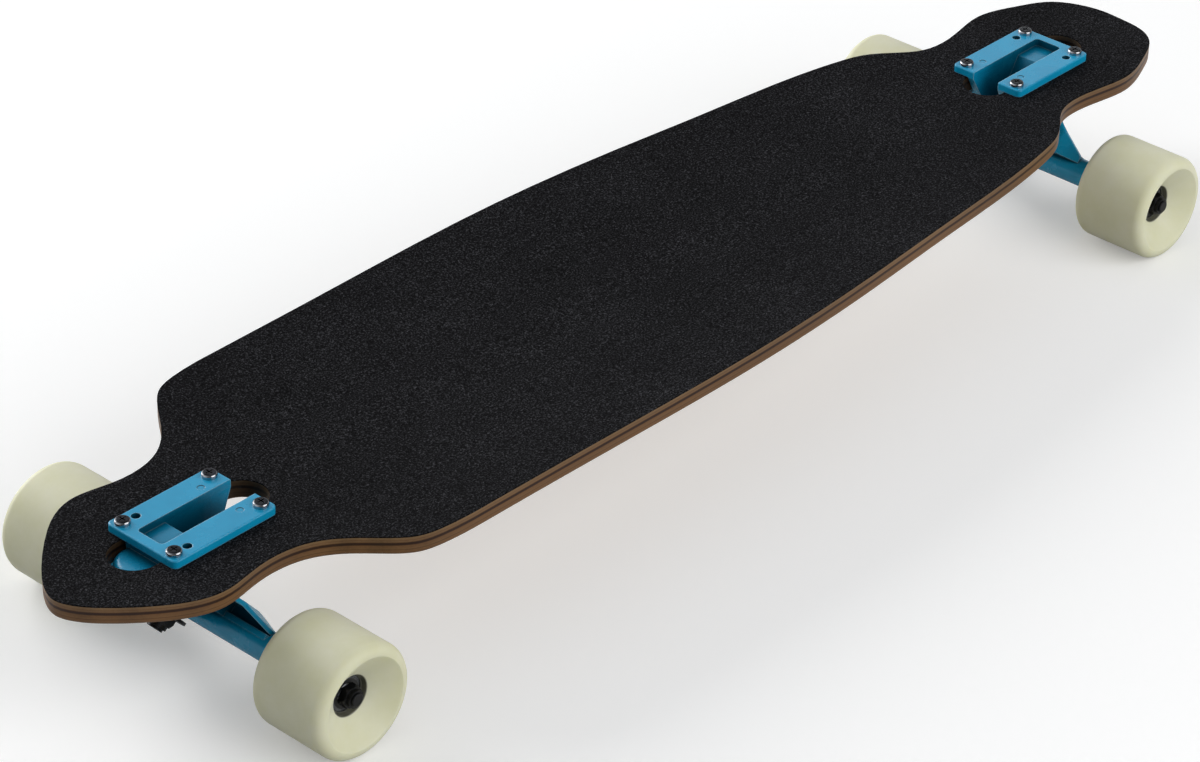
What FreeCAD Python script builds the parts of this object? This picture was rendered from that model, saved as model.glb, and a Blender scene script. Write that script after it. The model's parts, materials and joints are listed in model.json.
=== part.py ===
import FreeCAD, Part
import math
import os

# A drop-through longboard: a hollowed wooden deck, two lean-steering trucks and four soft wheels.
# Millimetres. X runs towards the nose, Y to the left, Z up, and the wheels stand on Z = 0.

V = FreeCAD.Vector
ACROSS = V(0, 1, 0)
UP = V(0, 0, 1)
ORIGIN = V(0, 0, 0)

# Deck and grip tape
deck_thickness = 11.0
deck_edge_round = 2.0
grip_thickness = 0.8
concave_radius = 800.0          # hollow of the standing surface, across the board
truck_spacing = 741.0           # between the centres of the two bolt patterns
nose_overhang = 103.8           # deck beyond the front pattern's centre
tail_overhang = 98.8            # and beyond the rear one's
# Outline points, as (station along the board, half width)
nose_tip_outline = [(5.0, 27.5), (15.0, 41.2), (35.0, 51.8)]                # back from the nose
tail_tip_outline = [(2.5, 9.5), (14.0, 26.0), (34.0, 45.8), (48.0, 56.0)]   # back from the tail
nose_neck_outline = [(34.0, 61.7), (10.0, 58.6), (-14.0, 55.7), (-32.0, 58.8),
                     (-49.5, 69.6), (-66.0, 79.6), (-86.0, 85.4)]           # outward from the truck's centre
waist_outline = [(0.7166, 100.2), (0.6086, 108.0), (0.4602, 114.1), (0.2982, 112.8),
                 (0.1633, 111.0)]       # stations as shares of the way from the rear truck to the front one
tail_neck_outline = [(34.0, 61.7), (10.0, 58.6), (-6.0, 57.1), (-30.0, 62.6), (-47.0, 77.0),
                     (-59.5, 94.0), (-70.0, 104.4), (-84.0, 108.8)]         # outward from the truck's centre

# Truck mounting: bolt pattern, flange and the cut-out that the truck drops through
bolt_spacing_x = 63.5
bolt_spacing_y = 41.275
spare_hole_step = 9.525         # from the outer bolts to the short pattern's holes
bolt_radius = 2.4
bolt_clearance = 0.35
bolt_head_radius = 4.7
bolt_head_height = 2.9
bolt_head_round = 1.6
cross_width = 1.0
cross_length = 5.2
cross_depth = 1.5
bolt_end_showing = 3.0
bolt_nut_flats = 9.5
bolt_nut_height = 5.0
thread_clearance = 0.05
flange_margin = 6.0             # flange beyond the bolt centres, lengthwise
flange_side_margin = 7.1        # and sideways
flange_thickness = 5.0
flange_corner = 3.5
flange_edge_round = 0.9
slot_half_width = 10.0
slot_end_margin = 0.8           # slot's closed end, short of the outer bolt centres
slot_corner = 2.5
marker_radius = 2.3             # shallow casting marks beside the bolts
marker_depth = 0.3
marker_step_x = 11.0
marker_step_y = 5.0
body_wall = 4.5
body_draft = 3.5                # the trough narrows by this towards its bottom
cutout_side_gap = 1.3
cutout_end_gap = 4.0
cutout_overhang = 14.0          # cut-out beyond the flange, towards the middle of the board

# Steering: the hanger leans on an axis that slopes up and outward
truck_height = 58.0             # axle centre to the flange's underside
axle_offset = -2.4              # axle from the bolt pattern's centre, outward
steer_angle = 50.0
ring_height = 23.9              # axle to ring centre, along the steering axis
rake = 3.63                     # axle below the ring's middle plane
ring_thickness = 8.0
ring_radius = 17.0
ring_hole_radius = 8.0
kingpin_radius = 4.76
kingpin_clearance = 0.3
kingpin_head_flats = 14.3
kingpin_head_height = 6.0
kingpin_showing = 1.5
kingpin_nut_flats = 14.3
kingpin_nut_height = 8.0
collar_height = 2.4             # locking insert's collar, on every nut
collar_inset = 1.0              # and how far it stands in from the flats
nut_foot_spread = 2.4           # cone that rounds a nut's corners, beyond the flats at its foot
nut_crown_inset = 1.2           # and inside them at its top
board_bushing_height = 12.0
board_bushing_radius = 13.0
board_bushing_bulge = 0.7
road_bushing_height = 12.0
road_bushing_radius = 12.8
road_bushing_small_radius = 10.2
bushing_round = 1.2
bushing_clearance = 0.4
board_washer_thickness = 1.5
road_washer_thickness = 2.0
washer_radius = 13.5
washer_round = 0.6
seat_half_length = 15.5
seat_wall = 6.0
pivot_radius = 6.2
pivot_root_radius = 9.0
pivot_root_gap = 1.0            # pivot root beyond the bushings
pivot_neck = 21.0
pivot_ball_centre = 28.0
pivot_gap = 0.3
cup_wall = 2.8
cup_floor = 2.5
cup_mouth = 23.0
cup_clearance = 0.05
boss_wall = 3.0
boss_radius = 14.5
boss_reach = 7.2                # boss centre beyond the cup's closed end, along the steering axis
boss_top_drop = 5.0             # boss top under the flange
boss_skirt = 2.26               # boss foot below the middle of the cup's mouth
boss_top_round = 4.0
boss_bottom_round = 3.5

# Hanger, axle, wheels and bearings
hanger_width = 180.0
bar_radius = 9.0
bar_end_radius = 8.2
bar_straight = 64.0             # half length before the bar tapers
shoulder_board_side = 10.4      # shoulder casting, from the ring's middle plane towards the board
shoulder_road_side = 2.0
shoulder_foot = 57.0            # half width at the bar
shoulder_top = 36.0             # half width level with the ring
shoulder_taper_start = 40.0     # from here its board side slopes down to the bar
shoulder_sink = 0.4             # and ends this far inside the bar
shoulder_foot_drop = 20.0       # along the steering axis, below the ring's centre
shoulder_foot_rise = 15.4
shoulder_cheek = 26.0
shoulder_cheek_rise = 9.0
shoulder_crown = 12.0
shoulder_corner = 4.0
shoulder_edge_round = 1.8
seat_relief_radius = 19.5
web_thickness = 2.8
lip_thickness = 3.5
channel_depth = 4.0
channel_start = 24.0
axle_radius = 3.97
axle_fit = 0.03
axle_showing = 1.3
axle_end_round = 0.6
axle_nut_flats = 12.7
axle_nut_height = 7.0
speed_washer_radius = 5.6
speed_washer_thickness = 1.0
spacer_radius = 5.5
spacer_length = 10.0
wheel_radius = 35.0
wheel_width = 53.8
wheel_edge_round = 6.2
wheel_lip = 0.4
wheel_mouth_radius = 12.3
wheel_mouth_depth = 12.0
wheel_bore_radius = 11.7
wheel_core_radius = 9.5
bearing_bore = 8.0
bearing_diameter = 22.0
bearing_width = 7.0
inner_ring_radius = 6.1
outer_ring_bore_radius = 9.0
ring_chamfer = 0.3
ball_diameter = 3.969
ball_pitch_radius = 7.5
ball_count = 7
ball_gap = 0.06
cage_thickness = 1.0
cage_back = 0.7
cage_front = 0.9
cage_gap = 0.15
shield_thickness = 0.4
shield_inset = 0.15
shield_gap = 0.3
shield_fit = 0.02

os.makedirs("parts", exist_ok=True)

# Heights and directions that follow from the sizes above
deck_length = nose_overhang + truck_spacing + tail_overhang
front_x = deck_length / 2 - nose_overhang
rear_x = front_x - truck_spacing
axle_z = wheel_radius
flange_z = axle_z + truck_height
flange_top = flange_z + flange_thickness
half_x = bolt_spacing_x / 2
half_y = bolt_spacing_y / 2
flange_half_length = half_x + flange_margin
flange_half_width = half_y + flange_side_margin
body_half_width = slot_half_width + body_wall
steer = V(math.cos(math.radians(steer_angle)), 0, math.sin(math.radians(steer_angle)))
pin = V(-steer.z, 0, steer.x)          # along the kingpin, towards the board
axle_point = V(axle_offset, 0, axle_z)
ring_centre = axle_point + steer * ring_height + pin * rake
ring_half = ring_thickness / 2
seat = ring_half + board_bushing_height + board_washer_thickness
seat_back = seat + seat_wall
road_seat = ring_half + road_bushing_height
nut_seat = road_seat + road_washer_thickness
nut_end = nut_seat + kingpin_nut_height
pivot_root = max(board_bushing_radius, road_bushing_radius) + pivot_root_gap
cup_radius = pivot_radius + pivot_gap + cup_wall
cup_end = pivot_ball_centre + pivot_radius + pivot_gap + cup_floor
boss_u = (ring_centre + steer * (cup_end + boss_reach)).x
boss_foot = (ring_centre + steer * cup_mouth).z - boss_skirt
boss_top = flange_z - boss_top_drop
slot_end = half_x - slot_end_margin
body_end = slot_end + body_wall
cutout_half_width = body_half_width + cutout_side_gap
cutout_outer = boss_u + boss_radius + cutout_end_gap
cutout_inner = -flange_half_length - cutout_overhang
bolt_hole_radius = bolt_radius + bolt_clearance
spare_x = half_x - spare_hole_step
BIG = 4 * flange_top                   # longer than anything that is cut or trimmed


def saucer(y):
    """Rise of the hollow standing surface at a distance y from the centreline."""
    return concave_radius - math.sqrt(concave_radius ** 2 - y ** 2)


grip_top = flange_z - saucer(flange_half_width)
hollow_axis = grip_top + concave_radius
underside_radius = concave_radius + grip_thickness + deck_thickness


def underside(y):
    """Height of the deck's lower face at a distance y from the centreline."""
    return hollow_axis - math.sqrt(underside_radius ** 2 - y ** 2)


def stand(shape, origin, direction):
    """Take a shape modelled along +Z to an origin, with +Z turned to a direction."""
    turned = shape.copy()
    turned.Placement = FreeCAD.Placement(origin, FreeCAD.Rotation(UP, direction))
    return turned


def tube(outer, inner, height, start=0.0):
    """Ring or washer along +Z, from a start height."""
    base = V(0, 0, start)
    return Part.makeCylinder(outer, height, base).cut(Part.makeCylinder(inner, height, base))


def hexagon(flats, height, start=0.0):
    """Six-sided prism along +Z with two flats facing plus and minus Y."""
    corner = flats / math.sqrt(3)
    turns = [k * math.pi / 3 for k in range(7)]
    points = [V(corner * math.cos(turn), corner * math.sin(turn), start) for turn in turns]
    return Part.Face(Part.makePolygon(points)).extrude(V(0, 0, height))


def lock_nut(flats, height, hole):
    """Hexagon nut along +Z with rounded corners and the round collar of its locking insert on top."""
    body = hexagon(flats, height - collar_height)
    crown = Part.makeCone(flats / 2 + nut_foot_spread, flats / 2 - nut_crown_inset, height)
    collar = Part.makeCylinder(flats / 2 - collar_inset, height)
    return body.common(crown).fuse(collar).cut(Part.makeCylinder(hole, height))


def side_prism(points, half_width):
    """Prism of a side profile given as (u, z) pairs, as wide as the half width on both sides."""
    corners = [V(u, -half_width, z) for u, z in points]
    outline = Part.makePolygon(corners + corners[:1])
    return Part.Face(outline).extrude(V(0, 2 * half_width, 0))


def pair(point):
    """Side-profile coordinates of a point."""
    return (point.x, point.z)


def round_edges(shape, radius, wanted):
    """Round the edges for which wanted(edge) is true."""
    return shape.makeFillet(radius, [edge for edge in shape.Edges if wanted(edge)])


def upright(edge):
    """True for a straight edge along Z."""
    return len(edge.Vertexes) == 2 and abs(edge.tangentAt(edge.FirstParameter).z) > 0.999


def level(height):
    """Test for edges that lie wholly at one height."""
    return lambda edge: abs(edge.BoundBox.ZMin - height) < 1e-6 and abs(edge.BoundBox.ZMax - height) < 1e-6


def on_truck(shape, end):
    """Take a truck piece to the front end, or turned round to the rear end."""
    moved = shape.copy()
    if end == "rear":
        moved.rotate(ORIGIN, UP, 180)
    moved.translate(V(front_x if end == "front" else rear_x, 0, 0))
    return moved


def save(name, solids):
    """Write one node, a single solid or a group of separate ones."""
    shape = solids[0] if len(solids) == 1 else Part.makeCompound(solids)
    shape.exportStep("parts/" + name + ".step")


def bolt_places():
    """The four bolts of one truck."""
    return [V(sx * half_x, sy * half_y, 0) for sx in (-1, 1) for sy in (-1, 1)]


def hole_places():
    """Every hole through flange and deck: the four bolts and the two of the short pattern."""
    return bolt_places() + [V(spare_x, sy * half_y, 0) for sy in (-1, 1)]


def bolt_holes():
    """Drills for every hole of one truck, through flange, tape and deck."""
    return [Part.makeCylinder(bolt_hole_radius, BIG, place) for place in hole_places()]


# Deck

def deck_outline():
    """Half widths round the board, as (station along X, half width), nose to tail."""
    nose = [(deck_length / 2 - back, width) for back, width in nose_tip_outline]
    nose += [(front_x + station, width) for station, width in nose_neck_outline]
    tail = [(back - deck_length / 2, width) for back, width in tail_tip_outline]
    tail += [(rear_x - station, width) for station, width in tail_neck_outline]
    waist = [(rear_x + share * truck_spacing, width) for share, width in waist_outline]
    return nose + waist + list(reversed(tail))


def board_prism():
    """The board's outline as an upright prism, one smooth closed curve."""
    left = deck_outline()
    nose = V(deck_length / 2, 0, 0)
    tail = V(-deck_length / 2, 0, 0)
    left_points = [V(x, y, 0) for x, y in left]
    right_points = [V(x, -y, 0) for x, y in reversed(left)]
    curve = Part.BSplineCurve()
    curve.interpolate(Points=[nose] + left_points + [tail] + right_points, PeriodicFlag=True)
    return Part.Face(Part.Wire(curve.toShape())).extrude(V(0, 0, BIG))


def hollow_layer(top_radius, bottom_radius):
    """A layer of the board between two cylinders that share the hollow's axis."""
    base = V(-deck_length, 0, hollow_axis)
    along = V(1, 0, 0)
    outer = Part.makeCylinder(bottom_radius, 2 * deck_length, base, along)
    return outer.cut(Part.makeCylinder(top_radius, 2 * deck_length, base, along))


def truck_cutout():
    """Long rounded opening that a truck's body and boss drop through."""
    near = cutout_inner + cutout_half_width
    far = cutout_outer - cutout_half_width
    w = cutout_half_width
    sides = [
        Part.makeLine(V(near, -w, 0), V(far, -w, 0)),
        Part.Arc(V(far, -w, 0), V(far + w, 0, 0), V(far, w, 0)).toShape(),
        Part.makeLine(V(far, w, 0), V(near, w, 0)),
        Part.Arc(V(near, w, 0), V(near - w, 0, 0), V(near, -w, 0)).toShape(),
    ]
    return Part.Face(Part.Wire(sides)).extrude(V(0, 0, BIG))


def make_deck():
    """Deck and grip tape, cut and drilled for both trucks."""
    prism = board_prism()
    deck_top = concave_radius + grip_thickness
    wood = prism.common(hollow_layer(deck_top, underside_radius))
    tape = prism.common(hollow_layer(concave_radius, deck_top))
    lower = min(wood.Edges, key=lambda edge: edge.BoundBox.ZMax)
    wood = wood.makeFillet(deck_edge_round, [lower])
    tools = [truck_cutout()] + bolt_holes()
    cuts = [on_truck(tool, end) for end in ("front", "rear") for tool in tools]
    save("deck", wood.cut(cuts).Solids)
    save("grip_tape", tape.cut(cuts).Solids)


# Baseplate

def flange():
    """Flat mounting plate on top of the deck, slotted from its inner end."""
    plate = Part.makeBox(2 * flange_half_length, 2 * flange_half_width, flange_thickness,
                         V(-flange_half_length, -flange_half_width, flange_z))
    plate = round_edges(plate, flange_corner, upright)
    plate = round_edges(plate, flange_edge_round, level(flange_top))
    slot = Part.makeBox(BIG, 2 * slot_half_width, BIG, V(slot_end - BIG, -slot_half_width, flange_z))
    closed = lambda edge: upright(edge) and edge.BoundBox.XMin > slot_end - slot_corner
    return plate.cut(round_edges(slot, slot_corner, closed))


def casting_marks():
    """Shallow round marks on the flange's top, inward from each bolt."""
    marks = []
    for place in bolt_places():
        u = place.x - math.copysign(marker_step_x, place.x)
        y = place.y - math.copysign(marker_step_y, place.y)
        if u < spare_x - marker_step_x:
            marks.append(Part.makeCylinder(marker_radius, BIG, V(u, y, flange_top - marker_depth)))
    return marks


def baseplate_body():
    """Walled trough under the flange that ends below in the sloping bushing seat."""
    low = ring_centre + pin * seat - steer * seat_half_length
    high = ring_centre + pin * seat + steer * seat_half_length
    heel = low + pin * (seat_wall + body_wall)
    profile = [pair(low), pair(high), (body_end, high.z), (body_end, flange_z),
               (-flange_half_length, flange_z), pair(heel)]
    return side_prism(profile, body_half_width)


def trough():
    """Hollow behind the bushing seat, open above and at the inner end, narrowing downward."""
    back = ring_centre + pin * seat_back
    foot = back - steer * (seat_half_length - body_wall)
    brim = back + steer * ((flange_z - back.z) / steer.z)
    profile = [pair(foot), pair(brim), (brim.x, BIG), (-BIG, BIG), (-BIG, foot.z)]
    narrow = slot_half_width - body_draft
    right = [(narrow, foot.z), (slot_half_width, flange_z), (slot_half_width, BIG)]
    section = [V(-BIG, y, z) for y, z in right] + [V(-BIG, -y, z) for y, z in reversed(right)]
    wedge = Part.Face(Part.makePolygon(section + section[:1])).extrude(V(2 * BIG, 0, 0))
    return side_prism(profile, BIG).common(wedge)


def pivot_boss():
    """Rounded housing under the flange's outer end that holds the pivot cup."""
    lump = Part.makeCylinder(boss_radius, boss_top - boss_foot, V(boss_u, 0, boss_foot))
    lump = round_edges(lump, boss_top_round, level(boss_top))
    lump = round_edges(lump, boss_bottom_round, level(boss_foot))
    sleeve = Part.makeCylinder(cup_radius + boss_wall, cup_end - cup_mouth, V(0, 0, cup_mouth))
    return lump.fuse(stand(sleeve, ring_centre, steer))


def make_baseplate():
    """Cast baseplate of one truck."""
    under_flange = Part.makeBox(2 * BIG, 2 * BIG, flange_z, V(-BIG, -BIG, 0))
    cast = baseplate_body().fuse(pivot_boss()).common(under_flange)
    cast = cast.cut(trough()).fuse(flange())
    pocket = Part.makeCylinder(cup_radius + cup_clearance, cup_end + cup_clearance)
    pin_hole = Part.makeCylinder(kingpin_radius + kingpin_clearance, seat_wall + seat, V(0, 0, seat / 2))
    cuts = bolt_holes() + casting_marks()
    cuts += [stand(pocket, ring_centre, steer), stand(pin_hole, ring_centre, pin)]
    return cast.cut(cuts).removeSplitter()


# Pieces on the kingpin and in the boss

def make_kingpin():
    """Hexagon-head bolt, head up in the trough and end down through its nut."""
    tip = nut_end + kingpin_showing
    shank = Part.makeCylinder(kingpin_radius, seat_back + tip, V(0, 0, -tip))
    return stand(shank.fuse(hexagon(kingpin_head_flats, kingpin_head_height, seat_back)), ring_centre, pin)


def make_kingpin_nut():
    """Lock nut under the road-side washer."""
    nut = lock_nut(kingpin_nut_flats, kingpin_nut_height, kingpin_radius + thread_clearance)
    return stand(nut, ring_centre - pin * nut_seat, -pin)


def make_boardside_bushing():
    """Soft barrel between the hanger's ring and the baseplate."""
    h = board_bushing_height
    r = board_bushing_radius - board_bushing_bulge
    hole = kingpin_radius + bushing_clearance
    sides = [
        Part.makeLine(V(hole, 0, 0), V(r, 0, 0)),
        Part.Arc(V(r, 0, 0), V(board_bushing_radius, 0, h / 2), V(r, 0, h)).toShape(),
        Part.makeLine(V(r, 0, h), V(hole, 0, h)),
        Part.makeLine(V(hole, 0, h), V(hole, 0, 0)),
    ]
    barrel = Part.Face(Part.Wire(sides)).revolve(ORIGIN, UP, 360)
    return stand(barrel, ring_centre + pin * ring_half, pin)


def make_roadside_bushing():
    """Soft cone between the hanger's ring and the nut's washer."""
    h = road_bushing_height
    cone = Part.makeCone(road_bushing_radius, road_bushing_small_radius, h)
    cone = round_edges(cone, bushing_round, level(h))
    hollow = cone.cut(Part.makeCylinder(kingpin_radius + bushing_clearance, h))
    return stand(hollow, ring_centre - pin * ring_half, -pin)


def make_bushing_washers():
    """One washer under the baseplate's seat and one on the nut."""
    washers = []
    for height, thickness, way in ((seat - board_washer_thickness, board_washer_thickness, pin),
                                   (road_seat, road_washer_thickness, -pin)):
        disc = Part.makeCylinder(washer_radius, thickness)
        disc = round_edges(disc, washer_round, level(thickness))
        disc = disc.cut(Part.makeCylinder(kingpin_radius + kingpin_clearance, thickness))
        washers.append(stand(disc, ring_centre + way * height, way))
    return washers


def make_pivot_cup():
    """Plastic cup in the boss with a round-ended hollow for the hanger's nose."""
    shell = Part.makeCylinder(cup_radius, cup_end - cup_mouth, V(0, 0, cup_mouth))
    hollow = nose_shape(pivot_radius + pivot_gap, 0)
    return stand(shell.cut(hollow), ring_centre, steer)


def nose_shape(radius, start):
    """Round-ended rod along +Z."""
    rod = Part.makeCylinder(radius, pivot_ball_centre - start, V(0, 0, start))
    return rod.fuse(Part.makeSphere(radius, V(0, 0, pivot_ball_centre)))


def make_mounting_bolts():
    """Four pan-head bolts with cross recesses."""
    end_z = underside(half_y) - bolt_nut_height - bolt_end_showing
    bolts = []
    for place in bolt_places():
        head = Part.makeCylinder(bolt_head_radius, bolt_head_height, V(0, 0, flange_top))
        head = round_edges(head, bolt_head_round, level(flange_top + bolt_head_height))
        bolt = head.fuse(Part.makeCylinder(bolt_radius, flange_top - end_z, V(0, 0, end_z)))
        floor = flange_top + bolt_head_height - cross_depth
        for length, width in ((cross_length, cross_width), (cross_width, cross_length)):
            bolt = bolt.cut(Part.makeBox(length, width, cross_depth, V(-length / 2, -width / 2, floor)))
        bolt.translate(place)
        bolts.append(bolt.removeSplitter())
    return bolts


def make_mounting_nuts():
    """Four lock nuts drawn up against the deck's lower face."""
    corner = bolt_nut_flats / math.sqrt(3)
    top = underside(half_y - corner)
    nuts = []
    for place in bolt_places():
        nut = lock_nut(bolt_nut_flats, bolt_nut_height, bolt_radius + thread_clearance)
        nuts.append(stand(nut, V(place.x, place.y, top), -UP))
    return nuts


# Hanger, modelled about the ring's centre: X towards the road, Y across, Z up the steering axis

def shoulders():
    """Cast shoulders between the bar and the ring, relieved round the board-side bushing."""
    right = [(shoulder_foot, -shoulder_foot_drop), (shoulder_foot, -shoulder_foot_rise), (shoulder_top, 0),
             (shoulder_cheek, shoulder_cheek_rise), (shoulder_crown, ring_radius)]
    outline = right + [(-y, z) for y, z in reversed(right)]
    corners = [V(-shoulder_board_side, y, z) for y, z in outline]
    depth = shoulder_board_side + shoulder_road_side
    block = Part.Face(Part.makePolygon(corners + corners[:1])).extrude(V(depth, 0, 0))
    foot = 1e-6 - shoulder_foot_drop
    upper = lambda edge: abs(edge.tangentAt(edge.FirstParameter).x) > 0.999 and edge.BoundBox.ZMin > foot
    block = round_edges(block, shoulder_corner, upper)
    block = block.cut([shoulder_taper(side) for side in (-1, 1)])
    face = lambda edge: edge.BoundBox.XMax < 1e-6 - shoulder_board_side
    block = round_edges(block, shoulder_edge_round, face)
    relief = Part.makeCylinder(seat_relief_radius, BIG, V(-ring_half - BIG, 0, 0), V(1, 0, 0))
    return block.cut(relief)


def shoulder_taper(side):
    """What is cut from the board side of one shoulder, so that it slopes down to the bar."""
    low = rake - bar_radius + shoulder_sink
    outline = [(-shoulder_board_side, shoulder_taper_start), (low, shoulder_foot), (low, BIG), (-BIG, BIG),
               (-BIG, shoulder_taper_start)]
    corners = [V(x, side * y, -BIG) for x, y in outline]
    return Part.Face(Part.makePolygon(corners + corners[:1])).extrude(V(0, 0, 2 * BIG))


def channel(side):
    """Channel along one arm, between the thin web and the lip of the bar, narrowing with the web."""
    web = web_thickness - shoulder_board_side
    web_end = web_thickness + rake - bar_radius + shoulder_sink
    lip = shoulder_road_side - lip_thickness
    top = bar_radius - ring_height
    cuts = []
    for outer, floor in ((lip, top - channel_depth), (BIG, top)):
        plan = [(web, channel_start), (outer, channel_start), (outer, shoulder_foot),
                (web_end, shoulder_foot), (web, shoulder_taper_start)]
        corners = [V(x, side * y, floor) for x, y in plan]
        cuts.append(Part.Face(Part.makePolygon(corners + corners[:1])).extrude(V(0, 0, BIG)))
    return cuts


def axle_bar():
    """Round bar that carries the axle, tapered to both ends."""
    centre = V(rake, 0, -ring_height)
    bar = Part.makeCylinder(bar_radius, 2 * bar_straight, centre - ACROSS * bar_straight, ACROSS)
    taper = hanger_width / 2 - bar_straight
    for side in (-1, 1):
        bar = bar.fuse(Part.makeCone(bar_radius, bar_end_radius, taper, centre + ACROSS * side * bar_straight,
                                     ACROSS * side))
    return bar.removeSplitter()


def make_hanger():
    """Cast hanger of one truck."""
    cast = axle_bar().fuse(shoulders())
    cast = cast.cut(channel(-1) + channel(1))
    ring = Part.makeCylinder(ring_radius, ring_thickness, V(-ring_half, 0, 0), V(1, 0, 0))
    root = Part.makeCone(pivot_root_radius, pivot_radius, pivot_neck - pivot_root, V(0, 0, pivot_root))
    cast = cast.fuse([ring, root, nose_shape(pivot_radius, pivot_root)])
    hole = Part.makeCylinder(ring_hole_radius, 2 * BIG, V(-BIG, 0, 0), V(1, 0, 0))
    bore = Part.makeCylinder(axle_radius + axle_fit, 2 * BIG, V(rake, -BIG, -ring_height), ACROSS)
    return stand(cast.cut([hole, bore]).removeSplitter(), ring_centre, steer)


# Axle and what is threaded on it, from the hanger's end outwards

washer_in = hanger_width / 2
bearing_in = washer_in + speed_washer_thickness
spacer_in = bearing_in + bearing_width
bearing_out = spacer_in + spacer_length
washer_out = bearing_out + bearing_width
nut_in = washer_out + speed_washer_thickness
axle_half = nut_in + axle_nut_height + axle_showing
wheel_centre = spacer_in + spacer_length / 2
SIDES = (-1, 1)


def on_axle(shape, side, start):
    """Thread a piece modelled along +Z onto one half of the axle."""
    return stand(shape, axle_point + ACROSS * side * start, ACROSS * side)


def make_axle():
    """Plain steel rod with rounded ends."""
    rod = Part.makeCylinder(axle_radius, 2 * axle_half)
    rod = round_edges(rod, axle_end_round, lambda edge: level(0)(edge) or level(2 * axle_half)(edge))
    return stand(rod, axle_point - ACROSS * axle_half, ACROSS)


def inner_ring():
    """Bearing inner ring along +Z, with its ball groove."""
    ring = tube(inner_ring_radius, bearing_bore / 2, bearing_width)
    ends = lambda edge: level(0)(edge) or level(bearing_width)(edge)
    ring = ring.makeChamfer(ring_chamfer, [edge for edge in ring.Edges if ends(edge)])
    return ring.cut(ball_track())


def outer_ring():
    """Bearing outer ring along +Z, with its ball groove."""
    ring = tube(bearing_diameter / 2, outer_ring_bore_radius, bearing_width)
    outside = lambda edge: edge.BoundBox.YMax > outer_ring_bore_radius + ring_chamfer
    ends = lambda edge: outside(edge) and (level(0)(edge) or level(bearing_width)(edge))
    ring = ring.makeChamfer(ring_chamfer, [edge for edge in ring.Edges if ends(edge)])
    return ring.cut(ball_track())


def ball_track():
    """The space that the balls run round in, a little larger than the balls."""
    return Part.makeTorus(ball_pitch_radius, ball_diameter / 2 + ball_gap, V(0, 0, bearing_width / 2))


def ball_spots():
    """Ball centres in one bearing."""
    turns = [2 * math.pi * k / ball_count for k in range(ball_count)]
    r = ball_pitch_radius
    return [V(r * math.cos(turn), r * math.sin(turn), bearing_width / 2) for turn in turns]


def cage():
    """Crown cage along +Z: a thin ring with a pocket round each ball."""
    pocket = ball_diameter / 2 + cage_gap
    start = bearing_width / 2 - pocket - cage_back
    height = pocket + cage_back + cage_front
    ring = tube(ball_pitch_radius + cage_thickness / 2, ball_pitch_radius - cage_thickness / 2, height, start)
    return ring.cut([Part.makeSphere(pocket, spot) for spot in ball_spots()])


def shields():
    """The two thin covers of one bearing, held in the outer ring."""
    outer = outer_ring_bore_radius - shield_fit
    inner = inner_ring_radius + shield_gap
    starts = (shield_inset, bearing_width - shield_inset - shield_thickness)
    return [tube(outer, inner, shield_thickness, start) for start in starts]


def make_wheel():
    """Cast soft wheel along +Z, dished on both faces and stepped inside for two bearings."""
    half = wheel_width / 2
    core = spacer_length / 2
    pocket = core + bearing_width
    lip = wheel_radius - wheel_edge_round - wheel_lip
    corner = wheel_edge_round * (1 - math.sqrt(0.5))
    face = [(lip, half), (wheel_mouth_radius, half - wheel_mouth_depth), (wheel_bore_radius, pocket),
            (bearing_diameter / 2, pocket), (bearing_diameter / 2, core), (wheel_core_radius, core)]
    inside = face + [(r, -z) for r, z in reversed(face)]
    points = [V(r, 0, z) for r, z in inside]
    shoulder = wheel_radius - wheel_edge_round
    top = [V(shoulder, 0, half), V(wheel_radius - corner, 0, half - corner),
           V(wheel_radius, 0, half - wheel_edge_round)]
    low = [V(point.x, 0, -point.z) for point in top]
    edges = [Part.makeLine(a, b) for a, b in zip(points, points[1:])]
    edges += [
        Part.makeLine(points[-1], low[0]),
        Part.Arc(low[0], low[1], low[2]).toShape(),
        Part.makeLine(low[2], top[2]),
        Part.Arc(top[2], top[1], top[0]).toShape(),
        Part.makeLine(top[0], points[0]),
    ]
    return Part.Face(Part.Wire(edges)).revolve(ORIGIN, UP, 360)


# Trucks and wheels, the same pieces at both ends

def make_truck(end):
    """Write every piece of one truck apart from its wheels."""
    threaded = [(side, start) for side in SIDES for start in (washer_in, washer_out)]
    bearings = [(side, start) for side in SIDES for start in (bearing_in, bearing_out)]
    washer = tube(speed_washer_radius, axle_radius + thread_clearance, speed_washer_thickness)
    spacer = tube(spacer_radius, bearing_bore / 2 + thread_clearance, spacer_length)
    nut = lock_nut(axle_nut_flats, axle_nut_height, axle_radius + thread_clearance)
    pieces = {
        "baseplate": [make_baseplate()],
        "kingpin": [make_kingpin()],
        "kingpin_nut": [make_kingpin_nut()],
        "boardside_bushing": [make_boardside_bushing()],
        "roadside_bushing": [make_roadside_bushing()],
        "bushing_washers": make_bushing_washers(),
        "pivot_cup": [make_pivot_cup()],
        "mounting_bolts": make_mounting_bolts(),
        "mounting_nuts": make_mounting_nuts(),
        "hanger": [make_hanger()],
        "axle": [make_axle()],
        "axle_nuts": [on_axle(nut, side, nut_in) for side in SIDES],
        "speed_washers": [on_axle(washer, side, start) for side, start in threaded],
        "bearing_spacers": [on_axle(spacer, side, spacer_in) for side in SIDES],
        "bearing_inner_rings": [on_axle(inner_ring(), side, start) for side, start in bearings],
    }
    for name, solids in pieces.items():
        save(end + "_" + name, [on_truck(solid, end) for solid in solids])


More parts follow.
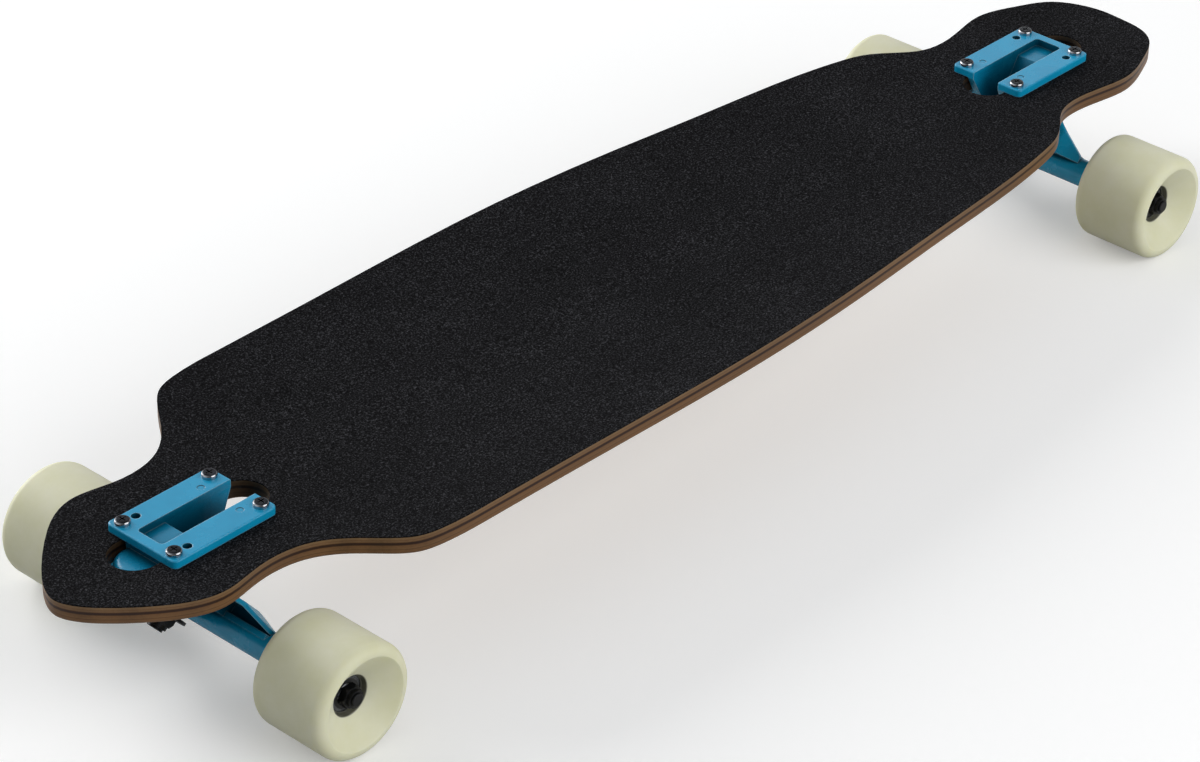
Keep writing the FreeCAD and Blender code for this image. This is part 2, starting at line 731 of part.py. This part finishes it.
def make_wheel_set(end, hand):
    """Write one wheel and the bearing pieces that turn with it or inside it."""
    left = 1 if hand == "left" else -1
    side = left if end == "front" else -left      # the rear truck is turned round
    starts = (bearing_in, bearing_out)
    balls = [Part.makeSphere(ball_diameter / 2, spot) for spot in ball_spots()]
    pieces = {
        "wheel": [on_axle(make_wheel(), side, wheel_centre)],
        "bearing_outer_rings": [on_axle(outer_ring(), side, start) for start in starts],
        "bearing_shields": [on_axle(shield, side, start) for start in starts for shield in shields()],
        "bearing_balls": [on_axle(ball, side, start) for start in starts for ball in balls],
        "bearing_cages": [on_axle(cage(), side, start) for start in starts],
    }
    for name, solids in pieces.items():
        save(end + "_" + hand + "_" + name, [on_truck(solid, end) for solid in solids])


make_deck()
for end in ("front", "rear"):
    make_truck(end)
    for hand in ("left", "right"):
        make_wheel_set(end, hand)
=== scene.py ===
import json
import math

import bmesh
import bpy
from mathutils import Matrix, Vector


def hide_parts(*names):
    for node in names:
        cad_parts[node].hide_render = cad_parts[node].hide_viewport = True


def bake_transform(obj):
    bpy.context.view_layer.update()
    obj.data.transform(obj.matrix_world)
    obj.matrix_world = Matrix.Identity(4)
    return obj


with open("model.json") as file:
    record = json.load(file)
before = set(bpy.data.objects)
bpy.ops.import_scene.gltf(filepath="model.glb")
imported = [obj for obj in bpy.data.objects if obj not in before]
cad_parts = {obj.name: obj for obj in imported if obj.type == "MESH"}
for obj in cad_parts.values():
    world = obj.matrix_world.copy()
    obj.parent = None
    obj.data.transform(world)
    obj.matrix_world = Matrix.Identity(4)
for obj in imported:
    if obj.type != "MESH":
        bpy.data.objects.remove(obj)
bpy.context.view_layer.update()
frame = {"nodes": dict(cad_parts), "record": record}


# Deck: seven rock maple veneers, glued and pressed into a shallow trough, then
# cut to outline with a router. The sawn edge shows the veneers as stripes under
# a thin clear lacquer, and the underside shows the long grain of the face veneer.

def linear(code):
    """Linear RGBA of an sRGB hex colour."""
    parts = [int(code[i:i + 2], 16) / 255 for i in (1, 3, 5)]
    return [c / 12.92 if c <= 0.04045 else ((c + 0.055) / 1.055) ** 2.4 for c in parts] + [1.0]


def material(name):
    """A new material and its shader."""
    made = bpy.data.materials.new(name)
    made.use_nodes = True
    return made, made.node_tree.nodes["Principled BSDF"]


def wear(node, sockets):
    """Sets a node's sockets, or links them to another node's."""
    for socket, value in sockets.items():
        if isinstance(value, bpy.types.NodeSocket):
            node.id_data.links.new(value, node.inputs[socket])
        else:
            node.inputs[socket].default_value = value


def add(owner, kind, sockets, stops=(), **settings):
    """Adds a node to a material or world, with its sockets and the stops of its ramp."""
    made = owner.node_tree.nodes.new("ShaderNode" + kind)
    for name, value in settings.items():
        setattr(made, name, value)
    wear(made, sockets)
    while stops and len(made.color_ramp.elements) < len(stops):
        made.color_ramp.elements.new(1.0)
    for step, (position, code) in enumerate(stops):
        made.color_ramp.elements[step].position = position
        made.color_ramp.elements[step].color = linear(code)
    return made


def dress(look, *names):
    """Gives CAD nodes a material."""
    for name in names:
        slots = frame["nodes"][name].data.materials
        slots.clear()
        slots.append(look)


maple, maple_shader = material("lacquered_maple_laminate")
place = add(maple, "TexCoord", {}).outputs["Object"]
# The trough is part of a cylinder on a lengthwise axis, so a veneer's depth is how
# far a point lies beyond the radius of the top face, as a share of the thickness.
hollow_axis_z = 0.892519
deck_top_radius = 0.8008
deck_thickness = 0.011
across = add(maple, "VectorMath", {0: place, 1: (0.0, 1.0, 1.0), 2: (0.0, 0.0, -hollow_axis_z)},
             operation="MULTIPLY_ADD").outputs[0]
reach = add(maple, "VectorMath", {0: across}, operation="LENGTH").outputs["Value"]
depth = add(maple, "MapRange", {"Value": reach, "From Min": deck_top_radius,
                                "From Max": deck_top_radius + deck_thickness}).outputs[0]
# The veneers alternate between long grain and cross grain, so the sawn edge is
# striped light and dark, with one dark-dyed veneer above the middle. The lower
# veneers darken towards the bottom of the edge, as painted shade.
plies = add(maple, "ValToRGB", {0: depth}, stops=[
    (0.0, "#806546"), (0.12, "#785b3c"), (0.16, "#6a4c31"), (0.20, "#7a5d40"), (0.26, "#6e5032"),
    (0.31, "#30190b"), (0.42, "#2e1809"), (0.47, "#6e4d2f"), (0.66, "#745536"), (0.70, "#5a3e25"),
    (0.74, "#745334"), (0.985, "#6a4d30"), (1.0, "#b08d62")]).outputs[0]
# Wood pores are drawn out along the board.
pore_length = 0.06
pore_width = 0.0015
long_grain = add(maple, "Mapping", {
    "Vector": place, "Scale": (1 / pore_length, 1 / pore_width, 1 / pore_width)}).outputs[0]
grain = add(maple, "TexNoise", {"Vector": long_grain, "Scale": 1.0, "Detail": 5.0,
                                "Roughness": 0.65}).outputs["Fac"]
# Growth rings, cut flat by the veneer knife, lie about 18 mm apart: the wave node
# makes a little over three bands to the unit at scale 1.
ring_scale = 17.0
cathedral = add(maple, "Mapping", {"Vector": place, "Scale": (0.12, 1.0, 0.3)}).outputs[0]
rings = add(maple, "TexWave", {"Vector": cathedral, "Scale": ring_scale, "Distortion": 5.0,
                               "Detail": 2.0, "Detail Scale": 1.2},
            bands_direction="Y").outputs["Fac"]
tone = add(maple, "Math", {0: rings, 1: 0.35, 2: grain}, operation="MULTIPLY_ADD").outputs[0]
shade = add(maple, "MapRange", {"Value": tone, "From Min": 0.3, "From Max": 1.0, "To Min": 0.72,
                                "To Max": 1.12}).outputs[0]
grained = add(maple, "VectorMath", {0: plies, 1: shade}, operation="MULTIPLY").outputs[0]
# The walls of the two truck cut-outs, which lie near the middle line and end before
# the tips, are darkened as painted shade inside the holes. The veneer on the underside is left out.
cut_out_half_width = 0.022
cut_out_end = 0.444
point = add(maple, "SeparateXYZ", {"Vector": place}).outputs
off_line = add(maple, "Math", {0: point["Y"]}, operation="ABSOLUTE").outputs[0]
off_middle = add(maple, "Math", {0: point["X"]}, operation="ABSOLUTE").outputs[0]
inside = add(maple, "MapRange", {"Value": off_line, "From Min": cut_out_half_width + 0.004,
                                 "From Max": cut_out_half_width}).outputs[0]
before_tip = add(maple, "MapRange", {"Value": off_middle, "From Min": cut_out_end + 0.006,
                                     "From Max": cut_out_end}).outputs[0]
on_edge = add(maple, "MapRange", {"Value": depth, "From Min": 1.0, "From Max": 0.93}).outputs[0]
walls = add(maple, "Math", {0: inside, 1: before_tip}, operation="MULTIPLY").outputs[0]
cut_out_painted_shade = add(maple, "Math", {0: walls, 1: on_edge}, operation="MULTIPLY").outputs[0]
# Painted shade: the cut-out walls keep a quarter of the wood's colour.
keep = add(maple, "MapRange", {"Value": cut_out_painted_shade, "To Min": 1.0, "To Max": 0.25}).outputs[0]
wood = add(maple, "VectorMath", {0: grained, 1: keep}, operation="MULTIPLY").outputs[0]
# The lacquer sinks into the pores, so the wood has a broken sheen and not a gloss.
sheen = add(maple, "MapRange", {"Value": grain, "To Min": 0.36, "To Max": 0.58}).outputs[0]
pores = add(maple, "Bump", {"Height": grain, "Strength": 0.25, "Distance": 0.0003}).outputs[0]
wear(maple_shader, {"Base Color": wood, "Roughness": sheen, "Normal": pores,
                    "Specular IOR Level": 0.22, "Coat Weight": 0.06, "Coat Roughness": 0.2})
dress(maple, "deck")


# Grip tape: a sheet of black abrasive cloth glued over the whole deck top and
# trimmed flush with a file. Silicon carbide grains stand in black resin; the paler
# grains are partly the grains' own grey and partly painted glints.

grip, grip_shader = material("black_grit_sheet")
place = add(grip, "TexCoord", {}).outputs["Object"]
# Real grains are 0.2 to 0.3 mm, too fine to show at this distance, so they are
# drawn about 1.2 mm across. Dust and rubbing leave clouds about 70 mm wide.
grains_per_metre = 850.0
clouds_per_metre = 14.0
grains = add(grip, "TexNoise", {"Vector": place, "Scale": grains_per_metre, "Detail": 3.0,
                                "Roughness": 0.8}).outputs["Fac"]
cloud = add(grip, "TexNoise", {"Vector": place, "Scale": clouds_per_metre,
                               "Detail": 2.0}).outputs["Fac"]
speck = add(grip, "Math", {0: cloud, 1: 0.07, 2: grains}, operation="MULTIPLY_ADD").outputs[0]
# The palest stops are painted glints on single grains, over their own dark grey.
grit_and_glints = add(grip, "ValToRGB", {0: speck}, stops=[
    (0.38, "#040405"), (0.49, "#0a0a0b"), (0.60, "#1e1e20"), (0.73, "#505054")]).outputs[0]
# Resin between the grains is dull, and a grain's broken face is smoother.
dull = add(grip, "MapRange", {"Value": grains, "From Min": 0.35, "From Max": 0.75, "To Min": 0.95,
                              "To Max": 0.55}).outputs[0]
tooth = add(grip, "Bump", {"Height": grains, "Strength": 0.5, "Distance": 0.0006}).outputs[0]
wear(grip_shader, {"Base Color": grit_and_glints, "Roughness": dull, "Normal": tooth,
                   "Specular IOR Level": 0.04})
dress(grip, "grip_tape")


# Baseplates: gravity die-cast aluminium, tumbled and coated in a blue baked
# enamel. Each one drops through the deck, and its flange lies on the grip tape.

# The enamel gives the eye a clear blue with a soft gloss, with a painted highlight
# along the edges and painted shade in the recesses.
ends = ("front_", "rear_")
enamel, enamel_shader = material("blue_baked_enamel")
place = add(enamel, "TexCoord", {}).outputs["Object"]
# Enamel pulls back from sharp edges as it bakes, so they round over. The edges are
# also painted pale, as a painted highlight.
edge_radius = 0.0012
soft_edge = add(enamel, "Bevel", {"Radius": edge_radius}, samples=6).outputs[0]
facing = add(enamel, "NewGeometry", {}).outputs["True Normal"]
bend = add(enamel, "VectorMath", {0: soft_edge, 1: facing},
           operation="DOT_PRODUCT").outputs["Value"]
edge = add(enamel, "MapRange", {"Value": bend, "From Min": 0.99, "From Max": 0.80}).outputs[0]
# The film's thickness drifts over patches about 17 mm wide.
patches_per_metre = 60.0
patch = add(enamel, "TexNoise", {"Vector": place, "Scale": patches_per_metre,
                                 "Detail": 4.0}).outputs["Fac"]
coat = add(enamel, "ValToRGB", {0: patch}, stops=[(0.3, "#0892bd"), (0.7, "#109cc7")]).outputs[0]
# Painted highlight: the edges are mixed towards a pale blue.
painted_edge_highlight = add(enamel, "Math", {0: edge, 1: 0.55}, operation="MULTIPLY").outputs[0]
highlit_coat = add(enamel, "Mix", {"Factor": painted_edge_highlight, "A": coat, "B": linear("#b4e2f4")},
             data_type="RGBA").outputs["Result"]
# The blue is darkened near an inside corner, as painted shade in the recesses.
recess_reach = 0.03
shelter = add(enamel, "AmbientOcclusion", {"Distance": recess_reach}, samples=8,
              only_local=True).outputs["AO"]
painted_recess_shade = add(enamel, "MapRange", {"Value": shelter, "From Min": 0.50, "From Max": 0.97,
                                "To Min": 0.20}).outputs[0]
blue = add(enamel, "VectorMath", {0: highlit_coat, 1: painted_recess_shade}, operation="MULTIPLY").outputs[0]
# Orange peel: low waves in the baked film, about 1.5 mm apart.
waves_per_metre = 650.0
peel = add(enamel, "TexNoise", {"Vector": place, "Scale": waves_per_metre,
                                "Detail": 1.0}).outputs["Fac"]
film = add(enamel, "Bump", {"Height": peel, "Strength": 0.12, "Distance": 0.0003,
                            "Normal": soft_edge}).outputs[0]
gloss = add(enamel, "MapRange", {"Value": patch, "To Min": 0.20, "To Max": 0.34}).outputs[0]
# The specular level and the coat are lowered in the recesses, as painted shade on
# their reflections.
recess_shaded_specular = add(enamel, "MapRange", {"Value": shelter, "From Min": 0.55, "From Max": 0.95,
                                 "To Min": 0.05, "To Max": 0.35}).outputs[0]
recess_shaded_coat = add(enamel, "Math", {0: recess_shaded_specular, 1: 0.43}, operation="MULTIPLY").outputs[0]
wear(enamel_shader, {"Base Color": blue, "Roughness": gloss, "Normal": film,
                     "Specular IOR Level": recess_shaded_specular, "Coat Weight": recess_shaded_coat, "Coat Roughness": 0.08})
dress(enamel, *[end + "baseplate" for end in ends])


# Mounting bolts and lock nuts: M5 cross-recess pan heads, headed cold from wire
# and plated dark over bright chrome. Zinc-plated lock nuts hold them under the deck.

# The bolts give the eye near-black mirrors, with a painted highlight round the rim.
plate, plate_shader = material("dark_chrome_plating")
surface = add(plate, "TexCoord", {}).outputs
# Fingers leave smudges about 2.6 mm wide on a bolt's head.
smudges_per_metre = 380.0
smudge = add(plate, "TexNoise", {"Vector": surface["Object"], "Scale": smudges_per_metre,
                                 "Detail": 3.0}).outputs["Fac"]
dark = add(plate, "ValToRGB", {0: smudge}, stops=[(0.35, "#17181a"), (0.7, "#303236")]).outputs[0]
# The sloping rim of the head gets a bright chrome tint, a painted highlight, which
# is kept out of the recess.
recess_depth = 0.002
slope = add(plate, "SeparateXYZ", {"Vector": surface["Normal"]}).outputs["Z"]
rim_highlight_slope = add(plate, "MapRange", {"Value": slope, "From Min": 0.88, "From Max": 0.60}).outputs[0]
shelter = add(plate, "AmbientOcclusion", {"Distance": recess_depth}, samples=8,
              only_local=True).outputs["AO"]
open_side = add(plate, "MapRange", {"Value": shelter, "From Min": 0.6, "From Max": 0.9}).outputs[0]
painted_rim_highlight = add(plate, "Math", {0: rim_highlight_slope, 1: open_side}, operation="MULTIPLY").outputs[0]
tint = add(plate, "Mix", {"Factor": painted_rim_highlight, "A": dark, "B": linear("#a8aaae")},
           data_type="RGBA").outputs["Result"]
polish = add(plate, "MapRange", {"Value": smudge, "To Min": 0.06, "To Max": 0.16}).outputs[0]
soft_edge = add(plate, "Bevel", {"Radius": 0.0003}, samples=4).outputs[0]
wear(plate_shader, {"Base Color": tint, "Metallic": 1.0, "Roughness": polish,
                    "Normal": soft_edge})
dress(plate, *[end + "mounting_bolts" for end in ends])

# Zinc settles in crystals about 1.1 mm wide, each with its own grey and its own
# shine, so the nuts look silvery and a little patchy.
crystals_per_metre = 900.0
zinc, zinc_shader = material("zinc_plated_steel")
place = add(zinc, "TexCoord", {}).outputs["Object"]
spangle = add(zinc, "TexVoronoi", {"Vector": place, "Scale": crystals_per_metre}).outputs["Color"]
tint = add(zinc, "ValToRGB", {0: spangle}, stops=[(0.1, "#8f9296"), (0.9, "#b9bcc0")]).outputs[0]
polish = add(zinc, "MapRange", {"Value": spangle, "To Min": 0.25, "To Max": 0.45}).outputs[0]
wear(zinc_shader, {"Base Color": tint, "Metallic": 1.0, "Roughness": polish})
dress(zinc, *[end + "mounting_nuts" for end in ends])


# Kingpins with their lock nuts and cupped washers: hardened steel, blackened in
# an oil bath. The kingpin clamps the two bushings on the hanger's ring.

# The bath leaves a satin black, with greyer spots about 3 mm wide where it took less.
spots_per_metre = 300.0
black, black_shader = material("oil_blackened_steel")
place = add(black, "TexCoord", {}).outputs["Object"]
mottle = add(black, "TexNoise", {"Vector": place, "Scale": spots_per_metre,
                                 "Detail": 5.0}).outputs["Fac"]
tint = add(black, "ValToRGB", {0: mottle}, stops=[
    (0.3, "#0e0e10"), (0.62, "#1d1d20"), (0.8, "#3a3836")]).outputs[0]
polish = add(black, "MapRange", {"Value": mottle, "To Min": 0.28, "To Max": 0.55}).outputs[0]
soft_edge = add(black, "Bevel", {"Radius": 0.0004}, samples=4).outputs[0]
wear(black_shader, {"Base Color": tint, "Metallic": 0.7, "Roughness": polish,
                    "Normal": soft_edge})
dress(black, *[end + piece for end in ends
               for piece in ("kingpin", "kingpin_nut", "bushing_washers")])


# Bushings and pivot cups: the bushings are cast urethane springs on the
# kingpin, a barrel above the hanger's ring and a cone below it, and the cup is a
# black plastic thimble in the boss that carries the hanger's nose.

# Pigment swirls about 8 mm long are left from the pour, in a satin black skin.
swirls_per_metre = 120.0
urethane, urethane_shader = material("black_bushing_urethane")
place = add(urethane, "TexCoord", {}).outputs["Object"]
swirl = add(urethane, "TexNoise", {"Vector": place, "Scale": swirls_per_metre,
                                   "Detail": 2.0}).outputs["Fac"]
tint = add(urethane, "ValToRGB", {0: swirl}, stops=[(0.3, "#141416"), (0.7, "#232326")]).outputs[0]
polish = add(urethane, "MapRange", {"Value": swirl, "To Min": 0.3, "To Max": 0.45}).outputs[0]
wear(urethane_shader, {"Base Color": tint, "Roughness": polish})

# Outlines as (radius, height) in mm, from the ring's face. The hole is wide enough
# for the kingpin when the bushing bends.
millimetre = 0.001
ring_face = 0.00405
facets = 64
barrel = [(6.6, 0.4), (7.0, 0.0), (11.6, 0.0), (12.2, 0.3), (12.5, 1.2), (12.7, 2.2),
          (12.85, 3.6), (12.95, 5.0), (12.95, 7.0), (12.85, 8.4), (12.7, 9.7), (12.5, 10.7),
          (12.2, 11.6), (11.6, 11.9), (7.0, 11.9), (6.6, 11.5), (6.6, 8.0), (6.6, 4.0)]
cone = [(6.6, 0.4), (7.0, 0.0), (12.0, 0.0), (12.5, 0.35), (12.45, 1.2), (12.2, 2.5),
        (11.9, 4.0), (11.55, 5.5), (11.25, 7.0), (10.95, 8.4), (10.7, 9.6), (10.35, 10.8),
        (9.8, 11.6), (9.0, 11.9), (7.0, 11.9), (6.6, 11.5), (6.6, 8.0), (6.6, 4.0)]
joints = {joint["name"]: joint for joint in frame["record"]["behaviour"]["joints"]}
for end in ends:
    lean = joints[end + "hanger_lean"]
    steer = Vector(lean["axis"])
    # The kingpin stands square to the steering axis and points up into the board.
    kingpin = steer.cross((0.0, 1.0, 0.0)) * math.copysign(1.0, steer.x)
    for piece, outline, side in (("boardside_bushing", barrel, 1.0),
                                 ("roadside_bushing", cone, -1.0)):
        along = kingpin * side
        foot = Vector(lean["pos_m"]) + along * ring_face
        upright = along.to_track_quat("Z", "Y").to_matrix()
        shape = bmesh.new()
        loops = []
        for radius, height in outline:
            loop = []
            for k in range(facets):
                angle = k * math.tau / facets
                offset = Vector((radius * math.cos(angle), radius * math.sin(angle), height))
                loop.append(shape.verts.new(foot + upright @ offset * millimetre))
            loops.append(loop)
        for low, high in zip(loops, loops[1:] + loops[:1]):
            for k in range(facets):
                shape.faces.new((low[k], low[k - 1], high[k - 1], high[k]))
        bmesh.ops.recalc_face_normals(shape, faces=shape.faces)
        mesh = bpy.data.meshes.new(end + piece + "_turned")
        shape.to_mesh(mesh)
        shape.free()
        mesh.shade_smooth()
        mesh.materials.append(urethane)
        bushing = bpy.data.objects.new(end + piece + "_turned", mesh)
        bpy.context.collection.objects.link(bushing)
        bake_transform(bushing)
        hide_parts(end + piece)

# The cup's mould is sand-blasted, which leaves the plastic matt and charcoal black.
# Real pits are about 0.1 mm, and are drawn about 0.7 mm wide.
pits_per_metre = 1500.0
plastic, plastic_shader = material("black_moulded_plastic")
place = add(plastic, "TexCoord", {}).outputs["Object"]
sand = add(plastic, "TexNoise", {"Vector": place, "Scale": pits_per_metre,
                                 "Detail": 2.0}).outputs["Fac"]
tint = add(plastic, "ValToRGB", {0: sand}, stops=[(0.3, "#101011"), (0.7, "#1b1b1d")]).outputs[0]
matt = add(plastic, "MapRange", {"Value": sand, "To Min": 0.45, "To Max": 0.65}).outputs[0]
skin = add(plastic, "Bump", {"Height": sand, "Strength": 0.2, "Distance": 0.0002}).outputs[0]
wear(plastic_shader, {"Base Color": tint, "Roughness": matt, "Normal": skin})
dress(plastic, *[end + "pivot_cup" for end in ends])


# Hangers: the moving half of each truck, one aluminium casting with a ring, a
# pivot nose and a hollowed axle bar, in the same blue enamel as the baseplate.

dress(enamel, *[end + "hanger" for end in ends])


# Axles, axle nuts, speed washers and spacers: 8 mm steel rod pressed through
# the hanger, with lock nuts outside each wheel, both blackened. The turned washers
# and the spacers between the bearings are zinc-plated.

dress(black, *[end + piece for end in ends for piece in ("axle", "axle_nuts")])
dress(zinc, *[end + piece for end in ends for piece in ("speed_washers", "bearing_spacers")])


# Bearings: two 608 ball bearings in each wheel, with ground steel rings and
# balls, a moulded nylon cage and black rubber shields that keep dirt out.

# Grinding leaves a shine with fine lines round the rings, 12 times as dense along the
# axle as across it. The steel is tinted dark, as painted shade inside the wheel's hub.
grinding_per_metre = 700.0
ground, ground_shader = material("ground_bearing_steel")
place = add(ground, "TexCoord", {}).outputs["Object"]
lines = add(ground, "Mapping", {"Vector": place, "Scale": (1.0, 12.0, 1.0)}).outputs[0]
hone = add(ground, "TexNoise", {"Vector": lines, "Scale": grinding_per_metre,
                                "Detail": 2.0}).outputs["Fac"]
tint = add(ground, "ValToRGB", {0: hone}, stops=[(0.3, "#3e3f42"), (0.7, "#66686b")]).outputs[0]
polish = add(ground, "MapRange", {"Value": hone, "To Min": 0.12, "To Max": 0.3}).outputs[0]
wear(ground_shader, {"Base Color": tint, "Metallic": 1.0, "Roughness": polish})
corners = [end + hand for end in ends for hand in ("left_", "right_")]
dress(ground, *[end + "bearing_inner_rings" for end in ends],
      *[corner + "bearing_outer_rings" for corner in corners],
      *[corner + "bearing_balls" for corner in corners])
dress(plastic, *[corner + "bearing_shields" for corner in corners])

# Undyed nylon is milky and lets a little light through, with flow marks about
# 2 mm wide from the mould.
flow_marks_per_metre = 500.0
nylon, nylon_shader = material("natural_nylon")
place = add(nylon, "TexCoord", {}).outputs["Object"]
flow = add(nylon, "TexNoise", {"Vector": place, "Scale": flow_marks_per_metre,
                               "Detail": 2.0}).outputs["Fac"]
tint = add(nylon, "ValToRGB", {0: flow}, stops=[(0.3, "#cfc9b8"), (0.7, "#e3ddcc")]).outputs[0]
matt = add(nylon, "MapRange", {"Value": flow, "To Min": 0.35, "To Max": 0.5}).outputs[0]
wear(nylon_shader, {"Base Color": tint, "Roughness": matt, "Subsurface Weight": 0.2,
                    "Subsurface Scale": 0.002})
dress(nylon, *[corner + "bearing_cages" for corner in corners])


# Wheels: cream urethane poured in open moulds and turned to size, so the tread
# has fine lathe lines and the dished faces stay smooth from the mould.

# Light goes about 9 mm into the urethane and comes out warmer, so the wheels look
# waxy, with soft shadows. Their colour drifts over patches about 25 mm wide.
light_depth = 0.009
drifts_per_metre = 40.0
cast, cast_shader = material("cream_cast_urethane")
place = add(cast, "TexCoord", {}).outputs["Object"]
bloom = add(cast, "TexNoise", {"Vector": place, "Scale": drifts_per_metre, "Detail": 4.0,
                               "Roughness": 0.6}).outputs["Fac"]
cream_drift = add(cast, "ValToRGB", {0: bloom}, stops=[(0.3, "#dcdbb8"), (0.7, "#e4e3c9")]).outputs[0]
# The mouth round the bearing is darkened, as painted shade. Folding the two axles
# onto one another gives the distance from the nearer one.
axles_middle = (-0.0025, 0.0, 0.035)
half_wheelbase = 0.3681
mouth_radius = 0.0124
aside = add(cast, "VectorMath", {0: place, 1: axles_middle}, operation="SUBTRACT").outputs[0]
folded = add(cast, "VectorMath", {0: aside}, operation="ABSOLUTE").outputs[0]
from_axle = add(cast, "VectorMath", {0: folded, 1: (1.0, 0.0, 1.0), 2: (-half_wheelbase, 0.0, 0.0)},
                operation="MULTIPLY_ADD").outputs[0]
away = add(cast, "VectorMath", {0: from_axle}, operation="LENGTH").outputs["Value"]
painted_mouth_shade = add(cast, "MapRange", {"Value": away, "From Min": mouth_radius + 0.0005,
                                "From Max": mouth_radius, "To Max": 0.85}).outputs[0]
tint = add(cast, "Mix", {"Factor": painted_mouth_shade, "A": cream_drift, "B": linear("#1c1b17")},
           data_type="RGBA").outputs["Result"]
# Lathe lines are about 0.1 mm apart on a real wheel, and drawn 1.5 mm apart.
line_spacing = 0.0015
turned = add(cast, "Mapping", {"Vector": place, "Scale": (2.0, 1 / line_spacing, 2.0)}).outputs[0]
lathe_lines = add(cast, "TexNoise", {"Vector": turned, "Scale": 1.0, "Detail": 2.0}).outputs["Fac"]
satin = add(cast, "MapRange", {"Value": lathe_lines, "To Min": 0.42, "To Max": 0.6}).outputs[0]
tread = add(cast, "Bump", {"Height": lathe_lines, "Strength": 0.08, "Distance": 0.0002}).outputs[0]
wear(cast_shader, {"Base Color": tint, "Roughness": satin, "Normal": tread,
                   "Subsurface Weight": 0.5, "Subsurface Radius": (1.0, 0.95, 0.7),
                   "Subsurface Scale": light_depth})
dress(cast, *[corner + "wheel" for corner in corners])


# Studio: a sweep of white paper under the wheels, two large round soft lights, low
# at the side and low at the back, an even glow from the walls, and the camera where
# the picture was taken from.

floor_reach = 9.0
floor_mesh = bpy.data.meshes.new("studio_floor")
floor_mesh.from_pydata([(-floor_reach, -floor_reach, 0.0), (floor_reach, -floor_reach, 0.0),
                        (floor_reach, floor_reach, 0.0), (-floor_reach, floor_reach, 0.0)],
                       [], [(0, 1, 2, 3)])
floor = bpy.data.objects.new("studio_floor", floor_mesh)
bpy.context.collection.objects.link(floor)
paper, paper_shader = material("white_paper_sweep")
place = add(paper, "TexCoord", {}).outputs["Object"]
# Flocks of fibre about 3 mm wide keep the white from being quite even.
flocks_per_metre = 300.0
fibre = add(paper, "TexNoise", {"Vector": place, "Scale": flocks_per_metre,
                                "Detail": 3.0}).outputs["Fac"]
tint = add(paper, "ValToRGB", {0: fibre}, stops=[(0.3, "#f3f3f2"), (0.7, "#f8f8f7")]).outputs[0]
# The paper is white to the eye and in reflections, while the light that it throws
# back onto the board is that of a grey sweep.
rays = add(paper, "LightPath", {}).outputs
mirrored = add(paper, "Math", {0: rays["Is Glossy Ray"], 1: rays["Is Transmission Ray"]},
               operation="MAXIMUM").outputs[0]
seen = add(paper, "Math", {0: rays["Is Camera Ray"], 1: mirrored}, operation="MAXIMUM").outputs[0]
sweep = add(paper, "Mix", {"Factor": seen, "A": linear("#b4b4b2"), "B": tint},
            data_type="RGBA").outputs["Result"]
# Away from the board the paper fades into the white of the walls.
far_off = add(paper, "VectorMath", {0: place}, operation="LENGTH").outputs["Value"]
glow = add(paper, "MapRange", {"Value": far_off, "From Min": 1.5, "From Max": 5.0, "To Min": 0.22,
                               "To Max": 0.75}).outputs[0]
lift = add(paper, "Math", {0: rays["Is Camera Ray"], 1: glow}, operation="MULTIPLY").outputs[0]
wear(paper_shader, {"Base Color": sweep, "Roughness": 0.9, "Specular IOR Level": 0.1,
                    "Emission Color": linear("#ffffff"), "Emission Strength": lift})
# From below, the paper lets the eye through to the underside of the board.
behind = add(paper, "NewGeometry", {}).outputs["Backfacing"]
clear = add(paper, "BsdfTransparent", {}).outputs[0]
sides = add(paper, "MixShader", {0: behind, 1: paper_shader.outputs[0], 2: clear}).outputs[0]
wear(paper.node_tree.nodes["Material Output"], {"Surface": sides})
floor_mesh.materials.append(paper)

# The walls light the board evenly and are white to the eye. Bright metal mirrors a
# white wall at the back of the room and a dim one at the front.
wall_light = 0.36
back_wall = 1.0
front_wall = 0.14
room = bpy.data.worlds.new("studio_glow")
room.use_nodes = True
rays = add(room, "LightPath", {}).outputs
mirrored = add(room, "Math", {0: rays["Is Glossy Ray"], 1: rays["Is Transmission Ray"]},
               operation="MAXIMUM").outputs[0]
plain = add(room, "MapRange", {"Value": rays["Is Camera Ray"], "To Min": wall_light,
                               "To Max": 1.0}).outputs[0]
way = add(room, "TexCoord", {}).outputs["Generated"]
to_back = add(room, "SeparateXYZ", {"Vector": way}).outputs["Y"]
wall = add(room, "MapRange", {"Value": to_back, "From Min": -0.5, "From Max": 0.4,
                              "To Min": front_wall - wall_light,
                              "To Max": back_wall - wall_light}).outputs[0]
level = add(room, "Math", {0: mirrored, 1: wall, 2: plain}, operation="MULTIPLY_ADD").outputs[0]
wear(room.node_tree.nodes["Background"], {"Color": linear("#f4f6fa"), "Strength": level})
bpy.context.scene.world = room

board_middle = Vector((0.0, 0.0, 0.08))
for name, stand, width, watts in (("side_softbox", (0.5, -2.6, 1.4), 3.2, 58.0),
                                  ("back_softbox", (-0.3, 2.9, 1.3), 3.0, 88.0)):
    lamp = bpy.data.lights.new(name, "AREA")
    lamp.shape = "DISK"
    lamp.size = width
    lamp.energy = watts
    holder = bpy.data.objects.new(name, lamp)
    holder.location = stand
    holder.rotation_euler = (board_middle - Vector(stand)).to_track_quat("-Z", "Y").to_euler()
    bpy.context.collection.objects.link(holder)

bpy.context.scene.view_settings.view_transform = "Standard"
lens = bpy.data.cameras.new("picture_camera")
lens.sensor_width = 36.0
lens.lens = 115.547
lens.clip_end = 50.0
camera = bpy.data.objects.new("picture_camera", lens)
camera_place = Vector((-1.50897, -1.31489, 1.27926))
look_right = Vector((0.67509325, -0.73757038, 0.0154609))
look_up = Vector((0.3857925, 0.3708215, 0.8447813))
look_along = Vector((0.62881894, 0.5643415, -0.53488822))
facing = Matrix((look_right, look_up, -look_along)).transposed()
camera.matrix_world = Matrix.Translation(camera_place) @ facing.to_4x4()
bpy.context.collection.objects.link(camera)
bpy.context.scene.camera = camera
